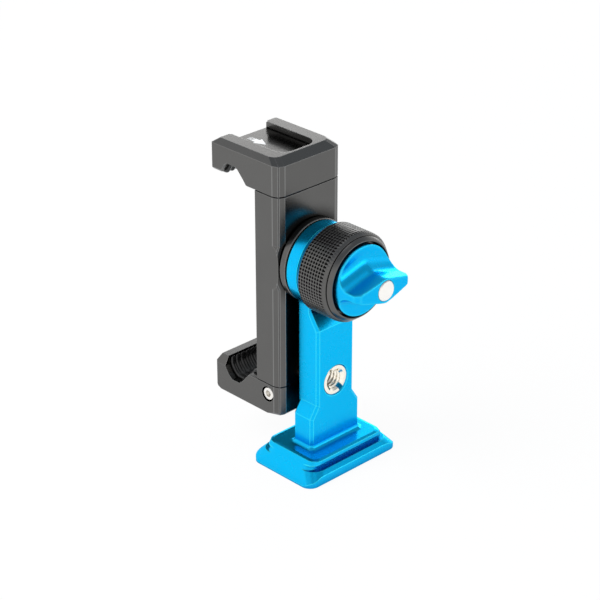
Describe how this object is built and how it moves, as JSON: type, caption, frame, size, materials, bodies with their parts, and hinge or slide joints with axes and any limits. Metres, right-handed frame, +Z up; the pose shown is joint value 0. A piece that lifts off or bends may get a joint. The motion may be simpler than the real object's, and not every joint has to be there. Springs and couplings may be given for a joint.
{
  "type": "tripod phone mount adapter",
  "caption": "Sprung phone clamp with a cold shoe on top, swivelling on an upright arm with a knurled lock ring and wing knob above a dovetail foot.",
  "frame": {"origin": "middle of the dovetail foot's underside", "axes": "+X along the jaws and the foot, +Y towards the phone side, +Z up along the clamp"},
  "size_m": [0.038, 0.06, 0.0984],
  "materials": {
    "blue_anodised": "satin blue anodised",
    "black_anodised": "satin black anodised",
    "bush_steel": "bright turned",
    "turned_steel": "turned",
    "dark_steel": "black oxide",
    "spring_steel": "drawn wire",
    "washer_polymer": "matt",
    "brass": "turned",
    "grip_rubber": "matt moulded"
  },
  "bodies": {
    "stand": {"arm_bracket": "blue_anodised", "thread_insert": "bush_steel"},
    "clamp": {"column_housing": "black_anodised", "swivel_flange": "black_anodised", "flange_screws": "dark_steel", "spindle": "turned_steel", "friction_washer": "washer_polymer", "thrust_washer": "washer_polymer", "spindle_clip": "dark_steel", "brake_shoe": "brass", "jaw_springs": "spring_steel", "lower_jaw": "black_anodised", "lower_grip": "grip_rubber", "lower_jaw_screws": "bush_steel"},
    "slider": {"upper_jaw": "black_anodised", "upper_grip": "grip_rubber", "clamp_bar": "turned_steel", "guide_bolts": "turned_steel"},
    "ring": {"lock_ring": "black_anodised"},
    "knob": {"wing_knob": "blue_anodised", "knob_stud": "turned_steel"}
  },
  "joints": [
    {"name": "swivel", "type": "hinge", "parent": "stand", "child": "clamp", "pos_m": [0, 0, 0.0645], "axis": [0, 1, 0], "continuous": true},
    {"name": "jaw_slide", "type": "slide", "parent": "clamp", "child": "slider", "axis": [0, 0, 1], "range_m": [0, 0.02], "stiffness_N_per_m": 500, "springref_m": -0.012, "deforming": ["jaw_springs"]},
    {"name": "lock_ring_turn", "type": "hinge", "parent": "clamp", "child": "ring", "pos_m": [0, 0, 0.0645], "axis": [0, 1, 0], "range_deg": [0, 90]},
    {"name": "wing_knob_turn", "type": "hinge", "parent": "clamp", "child": "knob", "pos_m": [0, 0, 0.0645], "axis": [0, 1, 0], "range_deg": [0, 180]}
  ]
}
